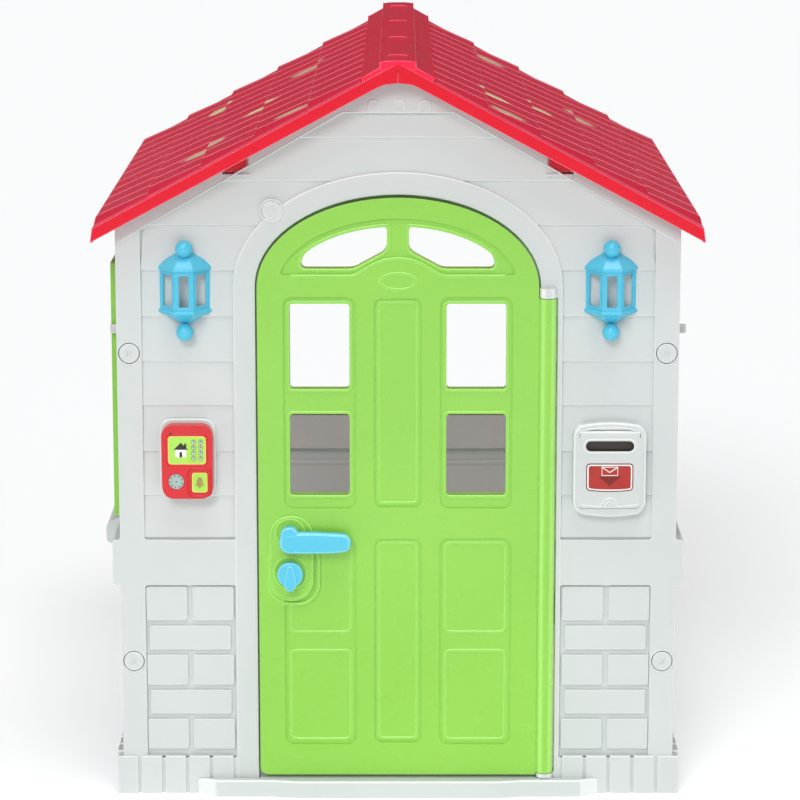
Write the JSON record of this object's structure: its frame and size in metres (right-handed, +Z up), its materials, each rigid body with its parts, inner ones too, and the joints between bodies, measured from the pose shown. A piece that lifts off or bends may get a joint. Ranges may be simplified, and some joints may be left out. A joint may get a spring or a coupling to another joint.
{
  "type": "playhouse",
  "caption": "Moulded plastic playhouse with a ribbed gable roof, an arched door, shuttered side windows, wall lanterns, a bell intercom and a mailbox.",
  "frame": {"origin": "on the floor, at the centre of the house's bounding box", "axes": "+Z up, -Y out through the front wall and its door, +X to the right as seen from the front"},
  "size_m": [0.887, 1.034, 1.1],
  "materials": {
    "white_plastic": "satin moulded polypropylene",
    "roof_red": "semi-gloss moulded polypropylene",
    "green_plastic": "semi-gloss moulded polypropylene",
    "blue_plastic": "semi-gloss moulded polypropylene",
    "dark_plastic": "plain dark plastic",
    "dome_rubber": "silicone rubber",
    "zinc_steel": "zinc-plated",
    "intercom_red": "glossy ABS",
    "lime_plastic": "printed label over plastic",
    "grey_plastic": "satin ABS",
    "board_green": "solder-resist on board",
    "label_red": "printed label"
  },
  "bodies": {
    "house": {"arch_plug": "white_plastic", "back_wall": "white_plastic", "battery_cover": "grey_plastic", "battery_left": "zinc_steel", "battery_right": "zinc_steel", "button_dome": "dome_rubber", "circuit_board": "board_green", "corner_screw_back_left_lower": "white_plastic", "corner_screw_back_left_upper": "white_plastic", "corner_screw_back_right_lower": "white_plastic", "corner_screw_back_right_upper": "white_plastic", "corner_screw_front_left_lower": "white_plastic", "corner_screw_front_left_upper": "white_plastic", "corner_screw_front_right_lower": "white_plastic", "corner_screw_front_right_upper": "white_plastic", "door_pin_lower": "zinc_steel", "door_pin_upper": "zinc_steel", "door_threshold": "white_plastic", "front_wall": "white_plastic", "intercom_back": "intercom_red", "intercom_case": "intercom_red", "intercom_screen": "lime_plastic", "lantern_left": "blue_plastic", "lantern_right": "blue_plastic", "left_wall": "white_plastic", "mailbox_case": "white_plastic", "mailbox_hinge_pin": "zinc_steel", "ridge_cap": "roof_red", "right_wall": "white_plastic", "roof_left": "roof_red", "roof_right": "roof_red", "shutter_catch_left_front": "white_plastic", "shutter_catch_left_rear": "white_plastic", "shutter_catch_right_front": "white_plastic", "shutter_catch_right_rear": "white_plastic", "speaker": "dark_plastic", "speaker_grille": "grey_plastic", "window_ledge": "white_plastic"},
    "door": {"door_panel": "green_plastic"},
    "handle": {"handle_lever_outside": "blue_plastic", "handle_lever_inside": "blue_plastic", "handle_spindle": "dark_plastic"},
    "lock": {"lock_knob_outside": "blue_plastic", "lock_knob_inside": "blue_plastic", "lock_shaft": "dark_plastic"},
    "shutter_left_front": {"shutter_left_front": "green_plastic"},
    "shutter_left_rear": {"shutter_left_rear": "green_plastic"},
    "shutter_right_front": {"shutter_right_front": "green_plastic"},
    "shutter_right_rear": {"shutter_right_rear": "green_plastic"},
    "bell_button": {"bell_button": "lime_plastic"},
    "mailbox_door": {"mailbox_door": "white_plastic", "mailbox_label": "label_red"}
  },
  "joints": [
    {"name": "door_hinge", "type": "hinge", "parent": "house", "child": "door", "pos_m": [0.2183, -0.4875, 0.39], "axis": [0, 0, 1], "range_deg": [0, 100]},
    {"name": "handle_turn", "type": "hinge", "parent": "door", "child": "handle", "pos_m": [-0.159, -0.497, 0.4015], "axis": [0, 1, 0], "range_deg": [0, 30]},
    {"name": "lock_turn", "type": "hinge", "parent": "door", "child": "lock", "pos_m": [-0.1585, -0.497, 0.3416], "axis": [0, 1, 0], "range_deg": [0, 90]},
    {"name": "shutter_left_front_hinge", "type": "hinge", "parent": "house", "child": "shutter_left_front", "pos_m": [-0.4225, -0.2035, 0.5975], "axis": [0, 0, -1], "range_deg": [0, 180]},
    {"name": "shutter_left_rear_hinge", "type": "hinge", "parent": "house", "child": "shutter_left_rear", "pos_m": [-0.4225, 0.2035, 0.5975], "axis": [0, 0, 1], "range_deg": [0, 180]},
    {"name": "shutter_right_front_hinge", "type": "hinge", "parent": "house", "child": "shutter_right_front", "pos_m": [0.4225, -0.2035, 0.5975], "axis": [0, 0, -1], "range_deg": [0, 180]},
    {"name": "shutter_right_rear_hinge", "type": "hinge", "parent": "house", "child": "shutter_right_rear", "pos_m": [0.4225, 0.2035, 0.5975], "axis": [0, 0, 1], "range_deg": [0, 180]},
    {"name": "bell_press", "type": "slide", "parent": "house", "child": "bell_button", "axis": [0, 1, 0], "range_m": [0, 0.0025], "stiffness_N_per_m": 400},
    {"name": "mailbox_hinge", "type": "hinge", "parent": "house", "child": "mailbox_door", "pos_m": [0.31, -0.4975, 0.552], "axis": [-1, 0, 0], "range_deg": [0, 80]}
  ]
}
